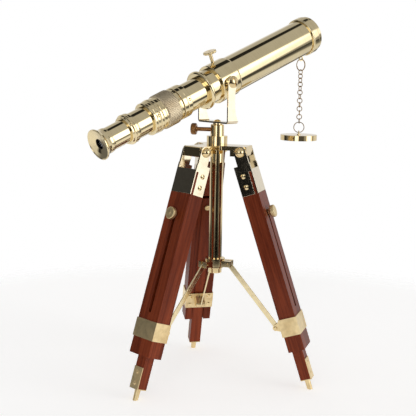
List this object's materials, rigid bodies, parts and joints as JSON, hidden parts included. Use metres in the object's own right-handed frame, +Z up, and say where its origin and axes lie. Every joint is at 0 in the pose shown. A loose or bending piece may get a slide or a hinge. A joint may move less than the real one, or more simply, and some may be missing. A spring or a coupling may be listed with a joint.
{
  "type": "tripod telescope",
  "caption": "Polished brass draw telescope in a tilting yoke on a wooden tripod with sliding legs, spreader and a lens cap on a chain",
  "frame": {"origin": "on the floor under the column's axis, at the middle of the three feet", "axes": "+Z up along the column, +X the direction the telescope looks in plan, +Y to its left"},
  "size_m": [0.3004, 0.2004, 0.3984],
  "materials": {
    "polished_brass": "polished",
    "lacquered_brass": "satin",
    "mahogany_stained_wood": "varnished",
    "optical_glass": "clear"
  },
  "bodies": {
    "stand": {"head_casting": "polished_brass", "center_column": "polished_brass", "column_stop": "polished_brass", "post": "polished_brass", "leg_pivot_bolts": "polished_brass"},
    "post_lock": {"post_lock_screw": "polished_brass"},
    "yoke": {"yoke": "polished_brass", "yoke_screw": "polished_brass", "swivel_stem": "polished_brass"},
    "barrel": {"objective_barrel": "polished_brass", "objective_ring": "polished_brass", "objective_lens": "optical_glass", "barrel_rear_ring": "polished_brass", "barrel_end_ring": "polished_brass", "pivot_screws": "polished_brass", "cap_eye": "polished_brass"},
    "barrel_clamp": {"barrel_clamp_screw": "polished_brass"},
    "body_tube": {"body_tube": "polished_brass", "front_collar": "polished_brass", "draw_collar": "polished_brass", "collar_screws": "polished_brass", "erector_lens": "optical_glass"},
    "focus_ring": {"focus_ring": "lacquered_brass"},
    "large_draw": {"draw_tube_large": "polished_brass", "draw_ring": "polished_brass"},
    "small_draw": {"draw_tube_small": "polished_brass", "eyecup": "polished_brass", "eye_lens": "optical_glass"},
    "hanger": {"top_split_ring": "polished_brass"},
    "chain": {"chain_links": "polished_brass", "cap_split_ring": "polished_brass"},
    "cap": {"cap_loop": "polished_brass", "lens_cap": "polished_brass"},
    "spreader": {"spreader_hub": "polished_brass", "hub_pins": "lacquered_brass"},
    "leg_1": {"leg_bracket_1": "polished_brass", "upper_leg_1": "mahogany_stained_wood", "leg_collar_1": "polished_brass", "leg_screws_1": "polished_brass"},
    "inner_leg_1": {"inner_leg_1": "mahogany_stained_wood", "foot_shoe_1": "polished_brass"},
    "leg_clamp_1": {"clamp_knob_1": "polished_brass"},
    "strut_1": {"strut_1": "lacquered_brass"},
    "leg_2": {"leg_bracket_2": "polished_brass", "upper_leg_2": "mahogany_stained_wood", "leg_collar_2": "polished_brass", "leg_screws_2": "polished_brass"},
    "inner_leg_2": {"inner_leg_2": "mahogany_stained_wood", "foot_shoe_2": "polished_brass"},
    "leg_clamp_2": {"clamp_knob_2": "polished_brass"},
    "strut_2": {"strut_2": "lacquered_brass"},
    "leg_3": {"leg_bracket_3": "polished_brass", "upper_leg_3": "mahogany_stained_wood", "leg_collar_3": "polished_brass", "leg_screws_3": "polished_brass"},
    "inner_leg_3": {"inner_leg_3": "mahogany_stained_wood", "foot_shoe_3": "polished_brass"},
    "leg_clamp_3": {"clamp_knob_3": "polished_brass"},
    "strut_3": {"strut_3": "lacquered_brass"}
  },
  "joints": [
    {"name": "post_lock_turn", "type": "hinge", "parent": "stand", "child": "post_lock", "pos_m": [0, 0, 0.2752], "axis": [-0.6157, 0.788, 0], "range_deg": [-90, 90]},
    {"name": "yoke_swivel", "type": "hinge", "parent": "stand", "child": "yoke", "pos_m": [0, 0, 0.2824], "axis": [0, 0, 1], "continuous": true},
    {"name": "tube_tilt", "type": "hinge", "parent": "yoke", "child": "barrel", "pos_m": [0, 0, 0.326], "axis": [0, -1, 0], "range_deg": [-42, 12]},
    {"name": "barrel_clamp_turn", "type": "hinge", "parent": "barrel", "child": "barrel_clamp", "pos_m": [0, 0, 0.326], "axis": [-0.3746, 0, 0.9272], "range_deg": [-90, 90]},
    {"name": "body_tube_slide", "type": "slide", "parent": "barrel", "child": "body_tube", "axis": [0.9272, 0, 0.3746], "range_m": [-0.045, 0.018]},
    {"name": "focus_turn", "type": "hinge", "parent": "body_tube", "child": "focus_ring", "pos_m": [0, 0, 0.326], "axis": [0.9272, 0, 0.3746], "range_deg": [-90, 90]},
    {"name": "focus_travel", "type": "slide", "parent": "body_tube", "child": "large_draw", "axis": [0.9272, 0, 0.3746], "range_m": [-0.006, 0.006]},
    {"name": "eyepiece_slide", "type": "slide", "parent": "large_draw", "child": "small_draw", "axis": [0.9272, 0, 0.3746], "range_m": [-0.038, 0.019]},
    {"name": "hanger_turn", "type": "hinge", "parent": "barrel", "child": "hanger", "pos_m": [0.12279, 0, 0.35177], "axis": [0, -1, 0], "range_deg": [-12, 42]},
    {"name": "chain_swing", "type": "hinge", "parent": "hanger", "child": "chain", "pos_m": [0.12279, 0, 0.33817], "axis": [0, 1, 0], "range_deg": [-12, 12]},
    {"name": "cap_swing", "type": "hinge", "parent": "chain", "child": "cap", "pos_m": [0.12279, 0, 0.26799], "axis": [-0.766, 0.6428, 0], "range_deg": [-20, 20]},
    {"name": "leg_fold_1", "type": "hinge", "parent": "stand", "child": "leg_1", "pos_m": [-0.02926, -0.00153, 0.2532], "axis": [0.0523, -0.9986, 0], "range_deg": [0, 13.4]},
    {"name": "leg_extend_1", "type": "slide", "parent": "leg_1", "child": "inner_leg_1", "axis": [-0.3152, -0.0165, -0.9489], "range_m": [0, 0.103]},
    {"name": "leg_clamp_turn_1", "type": "hinge", "parent": "inner_leg_1", "child": "leg_clamp_1", "pos_m": [-0.05117, -0.00268, 0.18725], "axis": [-0.9476, -0.0497, 0.3156], "range_deg": [-90, 90]},
    {"name": "leg_fold_2", "type": "hinge", "parent": "stand", "child": "leg_2", "pos_m": [0.01596, -0.02457, 0.2532], "axis": [0.8387, 0.5446, 0], "range_deg": [0, 13.4]},
    {"name": "leg_extend_2", "type": "slide", "parent": "leg_2", "child": "inner_leg_2", "axis": [0.1719, -0.2647, -0.9489], "range_m": [0, 0.103]},
    {"name": "leg_clamp_turn_2", "type": "hinge", "parent": "inner_leg_2", "child": "leg_clamp_2", "pos_m": [0.02791, -0.04297, 0.18725], "axis": [0.5168, -0.7958, 0.3156], "range_deg": [-90, 90]},
    {"name": "leg_fold_3", "type": "hinge", "parent": "stand", "child": "leg_3", "pos_m": [0.0133, 0.02611, 0.2532], "axis": [-0.891, 0.454, 0], "range_deg": [0, 13.4]},
    {"name": "leg_extend_3", "type": "slide", "parent": "leg_3", "child": "inner_leg_3", "axis": [0.1433, 0.2812, -0.9489], "range_m": [0, 0.103]},
    {"name": "leg_clamp_turn_3", "type": "hinge", "parent": "inner_leg_3", "child": "leg_clamp_3", "pos_m": [0.02326, 0.04565, 0.18725], "axis": [0.4308, 0.8455, 0.3156], "range_deg": [-90, 90]},
    {"name": "spreader_slide", "type": "slide", "parent": "stand", "child": "spreader", "axis": [0, 0, 1], "range_m": [0, 0.01508]},
    {"name": "strut_fold_1", "type": "hinge", "parent": "spreader", "child": "strut_1", "pos_m": [-0.01548, -0.00081, 0.1305], "axis": [0.0523, -0.9986, 0], "range_deg": [0, 33.07]},
    {"name": "strut_fold_2", "type": "hinge", "parent": "spreader", "child": "strut_2", "pos_m": [0.00844, -0.013, 0.1305], "axis": [0.8387, 0.5446, 0], "range_deg": [0, 33.07]},
    {"name": "strut_fold_3", "type": "hinge", "parent": "spreader", "child": "strut_3", "pos_m": [0.00704, 0.01381, 0.1305], "axis": [-0.891, 0.454, 0], "range_deg": [0, 33.07]}
  ],
  "couplings": [
    {"joint": "focus_travel", "follows": "focus_turn", "m_per_rad": 0.00382},
    {"joint": "hanger_turn", "follows": "tube_tilt", "ratio": -1},
    {"joint": "leg_fold_2", "follows": "leg_fold_1", "ratio": 1},
    {"joint": "leg_fold_3", "follows": "leg_fold_1", "ratio": 1},
    {"joint": "spreader_slide", "follows": "leg_fold_1", "m_per_rad": 0.064464},
    {"joint": "strut_fold_1", "follows": "leg_fold_1", "ratio": 2.4681},
    {"joint": "strut_fold_2", "follows": "leg_fold_1", "ratio": 2.4681},
    {"joint": "strut_fold_3", "follows": "leg_fold_1", "ratio": 2.4681}
  ]
}
